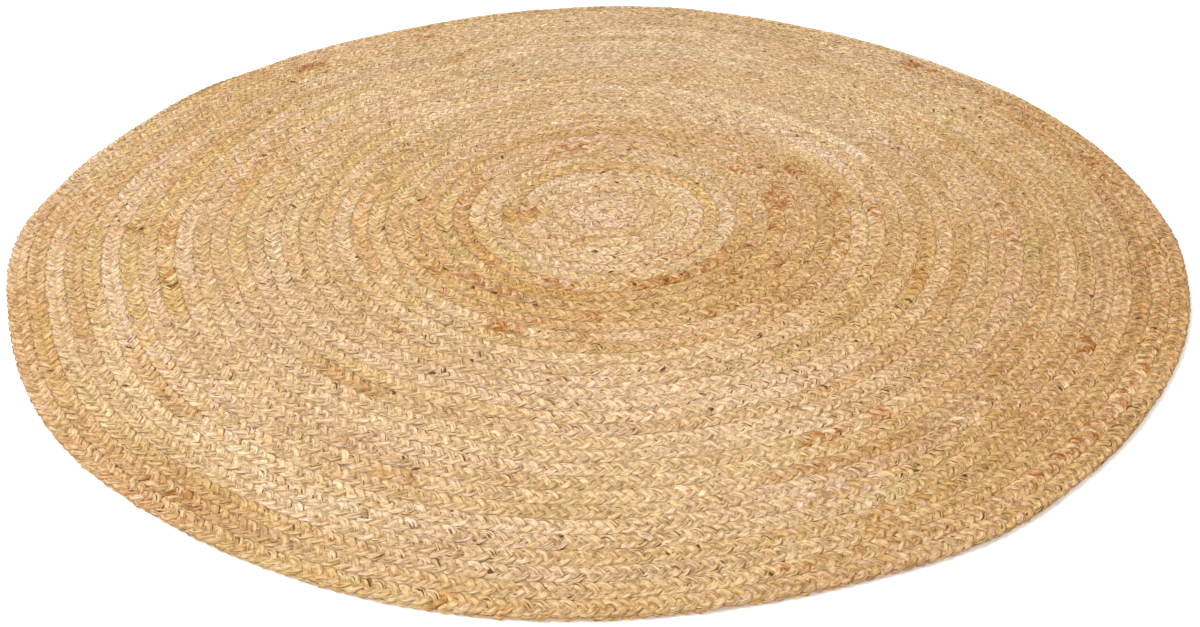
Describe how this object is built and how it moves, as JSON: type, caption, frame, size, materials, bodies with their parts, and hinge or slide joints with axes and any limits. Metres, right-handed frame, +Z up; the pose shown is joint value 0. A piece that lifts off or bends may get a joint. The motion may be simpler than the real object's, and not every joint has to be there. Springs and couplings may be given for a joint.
{
  "type": "round braided jute rug",
  "caption": "Flat round floor rug made of one jute plait wound in a spiral and sewn row to row, with a soft uneven rim.",
  "frame": {"origin": "on the floor, under the middle of the rug's bounding box; the eye of the spiral lies a few millimetres from it", "axes": "+Z up out of the rug's face, -Y towards the near edge in the picture, +X to the picture's right"},
  "size_m": [1.829, 1.8038, 0.01],
  "materials": {
    "jute_braid": "dry undyed jute fibre in three-strand plait, straw-coloured with paler, olive and rust streaks and dark flecks of bark"
  },
  "bodies": {
    "root": {"braided_rug": "jute_braid"}
  },
  "joints": []
}
